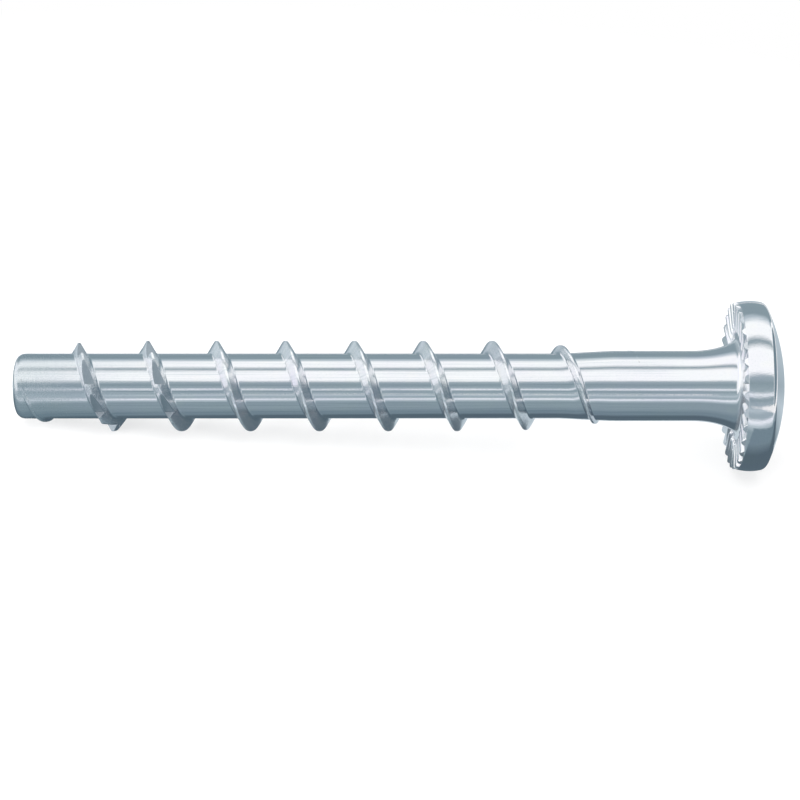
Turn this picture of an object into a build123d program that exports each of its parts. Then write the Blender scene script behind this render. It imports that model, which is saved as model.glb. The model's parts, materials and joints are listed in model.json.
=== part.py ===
"""A 6 mm concrete screw with a pan head: one cold-formed, thread-rolled and zinc-plated steel piece.

The screw is built upright on the Z axis, with the flat of its tip at height 0 and the head at the top,
and is then laid down as it rests on a table: on the rim of its head and on two neighbouring cutting teeth.
Angles about the axis are counted from the side that lies uppermost. Lengths are in millimetres.
"""
import os
from math import acos, asin, atan2, ceil, cos, degrees, hypot, pi, radians, sin, sqrt, tan

from build123d import *

# Core, shank and the flare under the head
length_under_head = 60.0
core_diameter = 5.46
tip_rounding = 0.8
shank_diameter = 5.9
shank_length = 10.45
neck_length = 4.2
flare_length = 3.75
flare_radius = 8.2
flare_root_rounding = 0.5

# Pan head
head_diameter = 14.3
rim_height = 2.23
rim_bulge = 0.15
dome_height = 1.62
dome_edge_fillet = 0.3

# Locking ribs under the head
rib_count = 31
rib_height = 0.35
rib_width = 0.8
rib_inner_radius = 4.6
rib_edge_gap = 0.03
rib_phase = 96.9

# Thread
pitch = 5.78
thread_diameter = 7.6
crest_land = 0.18
thread_base = 1.32
thread_phase_height = -0.613
lead_in_start = 0.6
lead_in_length = 5.4
run_out_lead = 4.2
run_out_length = 10.4

# Cutting teeth in the first turns of the thread
teeth_per_turn = 8
tooth_count = 13
tooth_floor_diameter = 6.44
first_tooth_angle = 313.0

# Hexalobular recess, size 30
drive_outer_diameter = 5.6
drive_inner_diameter = 3.95
drive_flank_radius = 1.194
drive_depth = 2.7
drive_bottom_rise = 0.5
drive_point_radius = 0.1
drive_mouth_chamfer = 0.12

# How the screw lies: the tooth, counted from the tip, whose notch faces down
resting_tooth = 7

# Radii and heights that follow from the sizes above
core_radius = core_diameter / 2
shank_radius = shank_diameter / 2
head_radius = head_diameter / 2
crest_radius = thread_diameter / 2
seat_height = length_under_head + rib_height
shank_start = seat_height - shank_length
neck_start = shank_start - neck_length
flare_start = seat_height - flare_length
rim_edge_radius = head_radius - rim_bulge
rim_middle = seat_height + rim_height / 2
rim_top = seat_height + rim_height
crown_height = rim_top + dome_height
dome_radius = (rim_edge_radius**2 + dome_height**2) / (2 * dome_height)
rim_arc_radius = ((rim_height / 2) ** 2 + rim_bulge**2) / (2 * rim_bulge)
run_out_start = neck_start - run_out_lead
tooth_spacing = 360 / teeth_per_turn
tooth_floor_radius = tooth_floor_diameter / 2
toothed_end_angle = first_tooth_angle + (tooth_count + 1) * tooth_spacing

# Depth inside the body of the feet of ridge and ribs and of the crest's ends, and excess of cuts
root_depth = 0.25
crest_end_depth = 0.07
rib_root = 0.1
overlap = 1.0

# How finely the helix is followed, in degrees, and the flats of a rib's arch
helix_step = 30.0
rib_flats = 5

FROM_BOTTOM = (Align.CENTER, Align.CENTER, Align.MIN)
FROM_TOP = (Align.CENTER, Align.CENTER, Align.MAX)


def eased(corner: tuple, before: tuple, after: tuple, reach: float) -> Edge:
    """A smooth bend in place of the corner between two points, which starts and ends this far from it."""
    middle = Vector(*corner)
    start = middle + (Vector(*before) - middle).normalized() * reach
    end = middle + (Vector(*after) - middle).normalized() * reach
    return Bezier(start, middle, end).edge()


def turned_body() -> Solid:
    """Tip, core, neck, shank, flare and head, turned about the axis in one profile."""
    flare_angle = asin(flare_length / flare_radius)
    flare_bend = (shank_radius, flare_start + flare_radius * tan(flare_angle / 2))
    flare_end = (shank_radius + flare_radius * (1 - cos(flare_angle)), seat_height)
    seat_edge = (rim_edge_radius, seat_height)
    half_dome = asin(rim_edge_radius / dome_radius) / 2
    dome_middle = (dome_radius * sin(half_dome), crown_height - dome_radius * (1 - cos(half_dome)))
    tip = eased((core_radius, 0), (0, 0), (core_radius, neck_start), tip_rounding)
    root = eased(flare_end, flare_bend, seat_edge, flare_root_rounding)
    outline = [
        Line((0, 0), tip @ 0),
        tip,
        Line(tip @ 1, (core_radius, neck_start)),
        Line((core_radius, neck_start), (shank_radius, shank_start)),
        Line((shank_radius, shank_start), (shank_radius, flare_start)),
        Bezier((shank_radius, flare_start), flare_bend, root @ 0),
        root,
        Line(root @ 1, seat_edge),
        ThreePointArc(seat_edge, (head_radius, rim_middle), (rim_edge_radius, rim_top)),
        ThreePointArc((rim_edge_radius, rim_top), dome_middle, (0, crown_height)),
        Line((0, crown_height), (0, 0)),
    ]
    profile = make_face(outline)
    dome_edge = profile.vertices().sort_by_distance((rim_edge_radius, rim_top))[0]
    return revolve(Plane.XZ * fillet(dome_edge, dome_edge_fillet), Axis.Z)


def crest_height(angle: float) -> float:
    """Height of the middle of the crest where the helix has turned by this angle."""
    return thread_phase_height + pitch * angle / 360


def crest_angle(height: float) -> float:
    """Angle by which the helix has turned where the middle of its crest is at this height."""
    return 360 * (height - thread_phase_height) / pitch


def ridge_section(crest: float) -> list[tuple]:
    """Corners of the V-shaped section whose crest has this radius: radius, and place beside the crest."""
    slope = (thread_base - crest_land) / 2 / (crest_radius - core_radius)
    foot = core_radius - root_depth
    half_foot = crest_land / 2 + slope * (crest - foot)
    return [(foot, -half_foot), (crest, -crest_land / 2), (crest, crest_land / 2), (foot, half_foot)]


def helix(first: tuple, last: tuple, start_angle: float, end_angle: float) -> Edge:
    """One edge of the ridge, which joins a corner of its first section to that of its last one."""
    steps = ceil((end_angle - start_angle) / helix_step)
    turned = radians(end_angle - start_angle)
    growth = (last[0] - first[0]) / turned
    climb = pitch / (2 * pi) + (last[1] - first[1]) / turned
    points = []
    tangents = []
    for step in range(steps + 1):
        angle = start_angle + (end_angle - start_angle) * step / steps
        outward = Vector(1, 0, 0).rotate(Axis.Z, angle)
        around = Vector(0, 1, 0).rotate(Axis.Z, angle)
        radius = first[0] + (last[0] - first[0]) * step / steps
        beside = first[1] + (last[1] - first[1]) * step / steps
        points.append(outward * radius + Vector(0, 0, crest_height(angle) + beside))
        tangents.append(around * radius + outward * growth + Vector(0, 0, climb))
    return Spline(*points, tangents=(tangents[0], tangents[-1]), tangent_scalars=(1, 1)).edge()


def ridge(start_angle: float, end_angle: float, first_crest: float, last_crest: float) -> Solid:
    """A stretch of the ridge: two flanks, the land of its crest and a foot inside the body."""
    corners = zip(ridge_section(first_crest), ridge_section(last_crest))
    edges = [helix(first, last, start_angle, end_angle) for first, last in corners]
    faces = [Face.make_surface_from_curves(edges[i - 1], edges[i]) for i in range(4)]
    faces += [Face(Wire.make_polygon([edge @ end for edge in edges])) for end in (0, 1)]
    return Solid(Shell(faces))


def tooth_notches() -> list[Solid]:
    """One notch a tooth: its floor is flat, and its step faces back along the thread."""
    depth = crest_radius - tooth_floor_radius + overlap
    length = sqrt(crest_radius**2 - tooth_floor_radius**2) + overlap
    block = Pos(tooth_floor_radius + depth / 2, -length / 2, 0) * Box(depth, length, 2 * thread_base)
    notches = []
    for tooth in range(tooth_count):
        angle = first_tooth_angle + tooth * tooth_spacing
        notches.append(Pos(0, 0, crest_height(angle)) * Rot(0, 0, angle) * block)
    return notches


def thread() -> list[Solid]:
    """The ridge in four stretches: rising and toothed, toothed, full, and sinking into the shank."""
    start = crest_angle(lead_in_start)
    risen = crest_angle(lead_in_start + lead_in_length)
    full_end = crest_angle(run_out_start)
    end = crest_angle(run_out_start + run_out_length)
    notches = tooth_notches()
    rising = ridge(start, risen, core_radius - crest_end_depth, crest_radius) - notches
    toothed = ridge(risen, toothed_end_angle, crest_radius, crest_radius) - notches
    full = ridge(toothed_end_angle, full_end, crest_radius, crest_radius)
    sinking = ridge(full_end, end, crest_radius, shank_radius - crest_end_depth)
    return [rising, toothed, full, sinking]


def locking_rib() -> Solid:
    """A rib with an arched section, which narrows towards the axis and is cut at a slant there."""
    outer_radius = rim_edge_radius - rib_edge_gap
    arch = []
    for flat in range(rib_flats + 1):
        turn = pi * flat / rib_flats
        arch.append((-rib_width / 2 * cos(turn), -rib_height * sin(turn) / cos(pi / rib_flats / 2)))
    arch += [(rib_width / 2, rib_root), (-rib_width / 2, rib_root)]
    outer_end = []
    inner_end = []
    for across, along in arch:
        share = rib_inner_radius / (outer_radius + along)
        outer_end.append(Vector(outer_radius, across, seat_height + along))
        inner_end.append(Vector(outer_radius * share, across * share, seat_height + along * share))
    sides = [[outer_end[i - 1], outer_end[i], inner_end[i], inner_end[i - 1]] for i in range(len(arch))]
    return Solid(Shell([Face(Wire.make_polygon(side)) for side in [*sides, outer_end, inner_end]]))


def locking_ribs() -> list[Solid]:
    """The ring of ribs on the seat of the head."""
    rib = locking_rib()
    return [Rot(0, 0, rib_phase + place * 360 / rib_count) * rib for place in range(rib_count)]


def drive_outline() -> Sketch:
    """Six rounded lobes joined by six flanks that bulge inwards, all tangent to one another."""
    outer = drive_outer_diameter / 2
    flank_centre = drive_inner_diameter / 2 + drive_flank_radius
    across = outer * flank_centre * cos(pi / 6)
    lobe_radius = (outer**2 + flank_centre**2 - 2 * across - drive_flank_radius**2) / (
        2 * (drive_flank_radius + outer - flank_centre * cos(pi / 6))
    )
    share = lobe_radius / (lobe_radius + drive_flank_radius)
    curves = []
    for lobe in range(6):
        tip = Vector(outer, 0).rotate(Axis.Z, 60 * lobe)
        centre = Vector(outer - lobe_radius, 0).rotate(Axis.Z, 60 * lobe)
        before = centre + (Vector(flank_centre, 0).rotate(Axis.Z, 60 * lobe - 30) - centre) * share
        after = centre + (Vector(flank_centre, 0).rotate(Axis.Z, 60 * lobe + 30) - centre) * share
        inner = Vector(drive_inner_diameter / 2, 0).rotate(Axis.Z, 60 * lobe + 30)
        following = before.rotate(Axis.Z, 60)
        curves += [ThreePointArc(before, tip, after), ThreePointArc(after, inner, following)]
    return make_face(curves)


def drive_recess() -> list[Solid]:
    """The room for the driver: a lobed socket with a conical bottom and a chamfered mouth."""
    floor_height = crown_height - drive_depth
    socket = Pos(0, 0, floor_height) * extrude(drive_outline(), drive_depth + overlap)
    inner_radius = drive_inner_diameter / 2
    point = Cone(drive_point_radius, inner_radius, drive_bottom_rise, align=FROM_TOP)
    bottom = Pos(0, 0, floor_height) * point
    mouth_radius = drive_outer_diameter / 2 + drive_mouth_chamfer
    mouth_height = crown_height - dome_radius + sqrt(dome_radius**2 - mouth_radius**2)
    mouth_depth = mouth_radius - inner_radius
    chamfer_room = Cone(inner_radius, mouth_radius + overlap, mouth_depth + overlap, align=FROM_BOTTOM)
    mouth = Pos(0, 0, mouth_height - mouth_depth) * chamfer_room
    return [socket, bottom, mouth]


def as_it_lies(upright: Solid) -> Solid:
    """Lay the screw along X with its tip at the left, on the rim of its head and two teeth.

    The floor touches the crest where the notch of the resting tooth begins and where it ends. The end lies
    further up the screw, so the screw is turned a little towards it.
    """
    notch_end = first_tooth_angle + (resting_tooth - 1) * tooth_spacing
    notch_turn = degrees(acos(tooth_floor_radius / crest_radius))
    notch_middle = notch_end - notch_turn / 2
    run = rim_middle - crest_height(notch_middle)
    rise = head_radius - rim_arc_radius - crest_radius * cos(radians(notch_turn / 2))
    tilt = degrees(atan2(rise, run) + asin(rim_arc_radius / hypot(rise, run)))
    width = 2 * crest_radius * sin(radians(notch_turn / 2))
    lean = degrees(asin(tan(radians(tilt)) * pitch * notch_turn / 360 / width))
    along = Plane(origin=(0, 0, 0), x_dir=(0, 0, 1), z_dir=(1, 0, 0))
    lying = Rot(0, -tilt, 0) * along.location * Rot(0, 0, 180 - notch_middle - lean) * upright
    box = lying.bounding_box()
    return Pos(-box.center().X, -box.center().Y, -box.min.Z) * lying


def concrete_screw() -> Solid:
    """The whole screw: the turned body, less the room for the driver, with its ribs and its thread."""
    upright = (turned_body() - drive_recess()) + [*locking_ribs(), *thread()]
    return as_it_lies(upright).solid()


os.makedirs("parts", exist_ok=True)
export_step(concrete_screw(), "parts/concrete_screw.step")
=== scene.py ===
"""A bright zinc-plated concrete screw, lying as it comes to rest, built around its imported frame.

The screw is made upright in millimetres, with the flat of its tip at height 0 and its head at the top, and
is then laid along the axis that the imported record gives. Angles about the axis are in degrees.
"""
import json
import logging
from dataclasses import dataclass
from enum import Enum
from math import acos, asin, atan2, cos, degrees, hypot, pi, radians, sin, sqrt, tan
from typing import Any, Callable, Iterable, Optional, Union

import bmesh
import bpy
from mathutils import Matrix, Vector


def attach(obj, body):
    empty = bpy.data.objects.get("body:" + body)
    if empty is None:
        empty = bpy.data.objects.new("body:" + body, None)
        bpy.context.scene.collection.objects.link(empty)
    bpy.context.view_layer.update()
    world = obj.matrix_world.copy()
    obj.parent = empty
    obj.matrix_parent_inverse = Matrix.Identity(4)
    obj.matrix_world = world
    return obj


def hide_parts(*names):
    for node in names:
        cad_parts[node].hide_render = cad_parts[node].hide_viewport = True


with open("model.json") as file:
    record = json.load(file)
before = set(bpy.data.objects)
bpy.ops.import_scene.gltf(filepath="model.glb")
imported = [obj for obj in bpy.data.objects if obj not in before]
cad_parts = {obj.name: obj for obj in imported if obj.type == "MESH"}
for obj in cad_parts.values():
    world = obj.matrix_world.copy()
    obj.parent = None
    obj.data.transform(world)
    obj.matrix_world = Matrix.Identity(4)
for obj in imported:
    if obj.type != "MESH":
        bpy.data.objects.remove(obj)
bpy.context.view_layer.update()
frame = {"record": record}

log = logging.getLogger("concrete_screw")

MM = 0.001
NODE = "concrete_screw"
BODY = "root"
MATERIAL_SLOT = "zinc_plated_steel"
MERGE_GAP = 0.0008
FINAL_MERGE_GAP = 0.0002

Number = Union[float, "Value"]


@dataclass(frozen=True)
class Value:
    """A number that flows out of a node, on which Python's operators build Math nodes."""

    maker: "NodeMaker"
    socket: bpy.types.NodeSocket

    def __add__(self, other: Number) -> "Value":
        """Sum."""
        return self.maker.math("ADD", self, other)

    def __radd__(self, other: Number) -> "Value":
        """Sum with a plain number on the left."""
        return self.maker.math("ADD", other, self)

    def __sub__(self, other: Number) -> "Value":
        """Difference."""
        return self.maker.math("SUBTRACT", self, other)

    def __rsub__(self, other: Number) -> "Value":
        """Difference from a plain number on the left."""
        return self.maker.math("SUBTRACT", other, self)

    def __mul__(self, other: Number) -> "Value":
        """Product."""
        return self.maker.math("MULTIPLY", self, other)

    def __rmul__(self, other: Number) -> "Value":
        """Product with a plain number on the left."""
        return self.maker.math("MULTIPLY", other, self)

    def __truediv__(self, other: Number) -> "Value":
        """Quotient."""
        return self.maker.math("DIVIDE", self, other)

    def __rtruediv__(self, other: Number) -> "Value":
        """Quotient of a plain number on the left."""
        return self.maker.math("DIVIDE", other, self)

    def __mod__(self, other: Number) -> "Value":
        """Remainder, never negative."""
        return self.maker.math("FLOORED_MODULO", self, other)

    def __abs__(self) -> "Value":
        """Size without its sign."""
        return self.maker.math("ABSOLUTE", self)

    def floor(self) -> "Value":
        """Whole number at or below this one."""
        return self.maker.math("FLOOR", self)

    def clamp(self) -> "Value":
        """This number held between 0 and 1."""
        return self.maker.math("MINIMUM", self.maker.math("MAXIMUM", self, 0.0), 1.0)

    def rise(self, start: Number, span: Number) -> "Value":
        """Rises from 0 to 1 while this number goes from a start over a span."""
        return ((self - start) / span).clamp()

    def fall(self, start: Number, span: Number) -> "Value":
        """Falls from 1 to 0 while this number goes from a start over a span."""
        return 1.0 - self.rise(start, span)


class NodeMaker:
    """Adds nodes to one node tree and links them."""

    def __init__(self, tree: bpy.types.NodeTree) -> None:
        """Start on an empty tree.

        Args:
            tree: the tree that receives the nodes; what it holds is removed.
        """
        self.tree = tree
        tree.nodes.clear()

    @classmethod
    def dressing(cls, data: Any) -> "NodeMaker":
        """Switch on the nodes of a material or world, and make the maker of its nodes."""
        data.use_nodes = True
        return cls(data.node_tree)

    def add(self, kind: str, settings: Optional[dict] = None, **sockets: Any) -> bpy.types.Node:
        """Add one node.

        Args:
            kind: the node's type.
            settings: its properties, set before its sockets; "stops" gives a colour ramp's stops.
            **sockets: values or links, by socket name in lower case with underscores, or by "i" and a place.

        Returns:
            The new node.
        """
        node = self.tree.nodes.new(kind)
        for name, setting in (settings or {}).items():
            if name == "stops":
                self._set_stops(node.color_ramp, setting)
            else:
                setattr(node, name, setting)
        for name, given in sockets.items():
            self._feed(self._find(node, name), given)
        return node

    def value(
        self, kind: str, settings: Optional[dict] = None, output: Union[int, str] = 0, **sockets: Any
    ) -> Value:
        """Add one node and take a number from it.

        Args:
            kind: the node's type.
            settings: its properties.
            output: name or place of the output to take.
            **sockets: values or links of its inputs.

        Returns:
            The output as a number that can be reckoned with.
        """
        return Value(self, self.add(kind, settings, **sockets).outputs[output])

    def math(self, operation: str, *operands: Number) -> Value:
        """Add a Math node, fed with up to three numbers."""
        sockets = {f"i{place}": operand for place, operand in enumerate(operands)}
        return self.value("ShaderNodeMath", {"operation": operation}, **sockets)

    def vector_math(self, operation: str, output: str, *operands: Any) -> Value:
        """Add a Vector Math node, fed with up to three vectors, and take one of its outputs."""
        sockets = {f"i{place}": operand for place, operand in enumerate(operands)}
        return self.value("ShaderNodeVectorMath", {"operation": operation}, output, **sockets)

    def mix(self, share: Value, first: Any, second: Any) -> bpy.types.NodeSocket:
        """Mix two colours by a share of the second."""
        return self.add("ShaderNodeMix", {"data_type": "RGBA"}, factor=share, i6=first, i7=second).outputs[2]

    def split(self, vector: Any) -> tuple[Value, ...]:
        """Take the three numbers of a vector."""
        parts = self.add("ShaderNodeSeparateXYZ", vector=vector)
        return tuple(Value(self, parts.outputs[name]) for name in "XYZ")

    @staticmethod
    def _find(node: bpy.types.Node, name: str) -> bpy.types.NodeSocket:
        """Find an input of a node.

        Args:
            node: the node.
            name: the input's place, such as i0, or its name with underscores.

        Returns:
            The input.
        """
        if name[0] == "i" and name[1:].isdigit():
            return node.inputs[int(name[1:])]
        wanted = name.replace("_", " ").lower()
        for socket in node.inputs:
            if socket.enabled and socket.name.lower() == wanted:
                return socket
        raise KeyError(f"{node.bl_idname} has no input {name}")

    def _feed(self, socket: bpy.types.NodeSocket, given: Any) -> None:
        """Link an output to an input, or set the input's own value.

        Args:
            socket: the input.
            given: a number that varies, an output, or a plain value.
        """
        if isinstance(given, Value):
            self.tree.links.new(given.socket, socket)
        elif isinstance(given, bpy.types.NodeSocket):
            self.tree.links.new(given, socket)
        else:
            socket.default_value = given

    @staticmethod
    def _set_stops(ramp: bpy.types.ColorRamp, stops: Iterable[tuple]) -> None:
        """Give a colour ramp its stops.

        Args:
            ramp: the ramp, which starts with two stops.
            stops: pairs of place and colour.
        """
        for place, (where, colour) in enumerate(stops):
            stop = ramp.elements[place] if place < 2 else ramp.elements.new(where)
            stop.position = where
            stop.color = colour


@dataclass(frozen=True)
class ScrewSizes:
    """Sizes of the screw, in millimetres and degrees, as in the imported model."""

    length_under_head: float = 60.0
    core_radius: float = 2.73
    tip_rounding: float = 0.8
    shank_radius: float = 2.95
    shank_length: float = 10.45
    neck_length: float = 4.2
    flare_length: float = 3.75
    flare_radius: float = 8.2
    flare_root_rounding: float = 0.5
    head_radius: float = 7.15
    rim_height: float = 2.23
    rim_bulge: float = 0.15
    dome_height: float = 1.62
    dome_edge_reach: float = 0.26
    rib_count: int = 31
    rib_height: float = 0.35
    rib_width: float = 0.8
    rib_inner_radius: float = 4.6
    rib_edge_gap: float = 0.03
    rib_phase: float = 96.9
    pitch: float = 5.78
    crest_radius: float = 3.8
    crest_land: float = 0.18
    thread_base: float = 1.32
    thread_phase_height: float = -0.613
    lead_in_start: float = 0.6
    lead_in_length: float = 5.4
    run_out_lead: float = 4.2
    run_out_length: float = 10.4
    crest_end_depth: float = 0.07
    teeth_per_turn: int = 8
    tooth_count: int = 13
    tooth_floor_radius: float = 3.22
    first_tooth_angle: float = 313.0
    resting_tooth: int = 7
    drive_outer_radius: float = 2.8
    drive_inner_radius: float = 1.975
    drive_flank_radius: float = 1.194
    drive_depth: float = 2.7
    drive_bottom_rise: float = 0.5
    drive_mouth_chamfer: float = 0.12

    @property
    def seat_height(self) -> float:
        """Height of the flat seat under the head."""
        return self.length_under_head + self.rib_height

    @property
    def shank_start(self) -> float:
        """Height where the neck ends and the plain shank starts."""
        return self.seat_height - self.shank_length

    @property
    def neck_start(self) -> float:
        """Height where the core starts to widen."""
        return self.shank_start - self.neck_length

    @property
    def run_out_start(self) -> float:
        """Height where the thread starts to sink into the neck."""
        return self.neck_start - self.run_out_lead

    @property
    def flare_start(self) -> float:
        """Height where the shank starts to flare."""
        return self.seat_height - self.flare_length

    @property
    def rim_edge_radius(self) -> float:
        """Radius of the head at its lower and upper edges."""
        return self.head_radius - self.rim_bulge

    @property
    def rim_top(self) -> float:
        """Height of the head's upper edge."""
        return self.seat_height + self.rim_height

    @property
    def crown_height(self) -> float:
        """Height of the middle of the dome."""
        return self.rim_top + self.dome_height

    @property
    def dome_radius(self) -> float:
        """Radius of the sphere that the dome is part of."""
        return (self.rim_edge_radius**2 + self.dome_height**2) / (2 * self.dome_height)

    @property
    def rim_arc_radius(self) -> float:
        """Radius of the rim's bulge, seen in section."""
        return ((self.rim_height / 2) ** 2 + self.rim_bulge**2) / (2 * self.rim_bulge)

    @property
    def tooth_spacing(self) -> float:
        """Angle from one tooth to the next."""
        return 360 / self.teeth_per_turn

    @property
    def flank_run(self) -> float:
        """Axial run of a flank for each millimetre of height."""
        return (self.thread_base - self.crest_land) / 2 / (self.crest_radius - self.core_radius)

    def crest_height(self, angle: float) -> float:
        """Height of the crest where the helix has turned by this angle."""
        return self.thread_phase_height + self.pitch * angle / 360

    def crest_angle(self, height: float) -> float:
        """Angle by which the helix has turned where its crest is at this height."""
        return 360 * (height - self.thread_phase_height) / self.pitch

    def down_angle(self) -> float:
        """Angle about the axis that faces the floor: the middle of a notch, with a small lean to its end.

        Returns:
            The angle in degrees.
        """
        notch_end = self.first_tooth_angle + (self.resting_tooth - 1) * self.tooth_spacing
        notch_turn = degrees(acos(self.tooth_floor_radius / self.crest_radius))
        run = self.seat_height + self.rim_height / 2 - self.crest_height(notch_end - notch_turn / 2)
        rise = self.head_radius - self.rim_arc_radius - self.crest_radius * cos(radians(notch_turn / 2))
        tilt = atan2(rise, run) + asin(self.rim_arc_radius / hypot(rise, run))
        width = 2 * self.crest_radius * sin(radians(notch_turn / 2))
        lean = degrees(asin(tan(tilt) * self.pitch * notch_turn / 360 / width))
        return notch_end - notch_turn / 2 + lean


def standing(origin: Vector, *axes: Vector) -> Matrix:
    """Matrix that moves the origin to a place and turns x, y and z to three unit vectors."""
    return Matrix.Translation(origin) @ Matrix([list(row) for row in zip(*axes)]).to_4x4()


@dataclass(frozen=True)
class Placement:
    """Where the screw lies in the row frame: its tip, its axis, and the way that each angle faces."""

    tip: Vector
    along: Vector
    down_angle: float

    @classmethod
    def from_record(cls, record: dict, sizes: ScrewSizes) -> "Placement":
        """Read the screw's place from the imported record.

        Args:
            record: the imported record, whose thread mount stands on the tip and points away from the head.
            sizes: the screw's sizes.

        Returns:
            The placement.
        """
        mount = next(m for m in record["mounts"] if m["name"] == "thread")
        return cls(Vector(mount["pos_m"]), -Vector(mount["axis"]).normalized(), sizes.down_angle())

    def facing(self, angle: float) -> Vector:
        """Direction in the row frame, square to the axis, of an angle about it.

        Args:
            angle: the angle in degrees.

        Returns:
            A unit vector.
        """
        front = Vector((0.0, -1.0, 0.0))
        upward = front.cross(self.along).normalized()
        turn = radians(angle + 180 - self.down_angle)
        return upward * cos(turn) + front * sin(turn)

    def around(self, angle: float) -> Vector:
        """Direction square to the axis, at an angle that starts at the camera and rises over the screw."""
        turn = radians(angle)
        return self.facing(90) * cos(turn) + self.facing(0) * sin(turn)

    def matrix(self) -> Matrix:
        """Matrix from the upright screw, in metres, to the row frame."""
        return standing(self.tip, self.facing(0), self.facing(90), self.along)


class MeshTools:
    """Small steps that every piece shares."""

    @staticmethod
    def mesh(name: str, points: Iterable[Any], faces: Iterable[tuple] = ()) -> bpy.types.Mesh:
        """Make a mesh.

        Args:
            name: its name.
            points: its vertices.
            faces: one tuple of vertex numbers a face.

        Returns:
            The mesh.
        """
        made = bpy.data.meshes.new(name)
        made.from_pydata([tuple(point) for point in points], [], list(faces))
        return made

    @staticmethod
    def placed(name: str, data: Any) -> bpy.types.Object:
        """Make an object of a mesh, a lamp or a camera and link it to the scene.

        Args:
            name: the object's name.
            data: what it shows.

        Returns:
            The object.
        """
        made = bpy.data.objects.new(name, data)
        bpy.context.scene.collection.objects.link(made)
        return made

    @staticmethod
    def evaluated(source: bpy.types.Object) -> bpy.types.Mesh:
        """Make a plain mesh of an object as its modifiers show it, and take the modifiers off.

        Args:
            source: the object.

        Returns:
            The mesh.
        """
        bpy.context.view_layer.update()
        mesh = bpy.data.meshes.new_from_object(
            source.evaluated_get(bpy.context.evaluated_depsgraph_get())
        )
        for modifier in list(source.modifiers):
            source.modifiers.remove(modifier)
        return mesh

    @staticmethod
    def tube_faces(rows: int, columns: int) -> list[tuple]:
        """Faces of a closed tube of rows, whose last column joins its first and whose ends are capped.

        Args:
            rows: number of rows of vertices.
            columns: number of vertices in a row.

        Returns:
            One tuple of vertex numbers a face.
        """
        faces = []
        for row in range(rows - 1):
            for column in range(columns):
                after = (column + 1) % columns
                low, high = row * columns, (row + 1) * columns
                faces.append((low + column, low + after, high + after, high + column))
        last = (rows - 1) * columns
        return faces + [tuple(range(columns)), tuple(last + column for column in range(columns))]

    @staticmethod
    def outward(mesh: bpy.types.Mesh, gap: float = MERGE_GAP) -> bpy.types.Mesh:
        """Merge a mesh's doubles and point its faces outwards.

        Args:
            mesh: the mesh, which is changed.
            gap: vertices nearer than this become one.

        Returns:
            The same mesh.
        """
        work = bmesh.new()
        work.from_mesh(mesh)
        bmesh.ops.remove_doubles(work, verts=work.verts, dist=gap)
        bmesh.ops.dissolve_degenerate(work, edges=work.edges, dist=gap / 8)
        bmesh.ops.recalc_face_normals(work, faces=work.faces)
        work.to_mesh(mesh)
        work.free()
        return mesh


class GeometryTree:
    """A Geometry Nodes tree with named inputs, which starts from an object's own vertices."""

    def __init__(self, name: str, inputs: dict[str, float]) -> None:
        """Start the tree.

        Args:
            name: the tree's name.
            inputs: names and values of its number inputs.
        """
        self.tree = bpy.data.node_groups.new(name, "GeometryNodeTree")
        self.make = NodeMaker(self.tree)
        self.given = inputs
        self.tree.interface.new_socket("Geometry", in_out="INPUT", socket_type="NodeSocketGeometry")
        for label in inputs:
            self.tree.interface.new_socket(label, in_out="INPUT", socket_type="NodeSocketFloat")
        self.tree.interface.new_socket("Geometry", in_out="OUTPUT", socket_type="NodeSocketGeometry")
        self.entry = self.make.add("NodeGroupInput")

    def input(self, label: str) -> Value:
        """A named input as a number."""
        return Value(self.make, self.entry.outputs[label])

    @property
    def geometry(self) -> bpy.types.NodeSocket:
        """The geometry that the modifier starts from."""
        return self.entry.outputs["Geometry"]

    def point_count(self) -> Value:
        """Number of the object's own vertices."""
        size = self.make.add("GeometryNodeAttributeDomainSize", geometry=self.geometry)
        return Value(self.make, size.outputs["Point Count"])

    def point(self, index: Value) -> tuple[Value, ...]:
        """Read one of the object's own vertices.

        Args:
            index: its number.

        Returns:
            Its three coordinates.
        """
        here = self.make.add(
            "GeometryNodeSampleIndex",
            {"data_type": "FLOAT_VECTOR"},
            geometry=self.geometry,
            value=self.make.value("GeometryNodeInputPosition"),
            index=index,
        )
        return self.make.split(here.outputs[0])

    def finish(self, shape: bpy.types.NodeSocket, material: bpy.types.Material) -> None:
        """End the tree in Realize Instances and Set Material.

        Args:
            shape: the geometry output of the last node.
            material: the material of the piece.
        """
        real = self.make.add("GeometryNodeRealizeInstances", geometry=shape)
        dressed = self.make.add("GeometryNodeSetMaterial", geometry=real.outputs[0], material=material)
        self.make.add("NodeGroupOutput", geometry=dressed.outputs[0])

    def apply(self, target: bpy.types.Object) -> bpy.types.Mesh:
        """Run the tree on an object.

        Args:
            target: the object, which is used up.

        Returns:
            The plain mesh.
        """
        modifier = target.modifiers.new(self.tree.name, "NODES")
        modifier.node_group = self.tree
        for item in self.tree.interface.items_tree:
            if item.item_type == "SOCKET" and item.in_out == "INPUT" and item.name in self.given:
                modifier[item.identifier] = float(self.given[item.name])
        mesh = MeshTools.evaluated(target)
        bpy.data.objects.remove(target)
        return mesh


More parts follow.
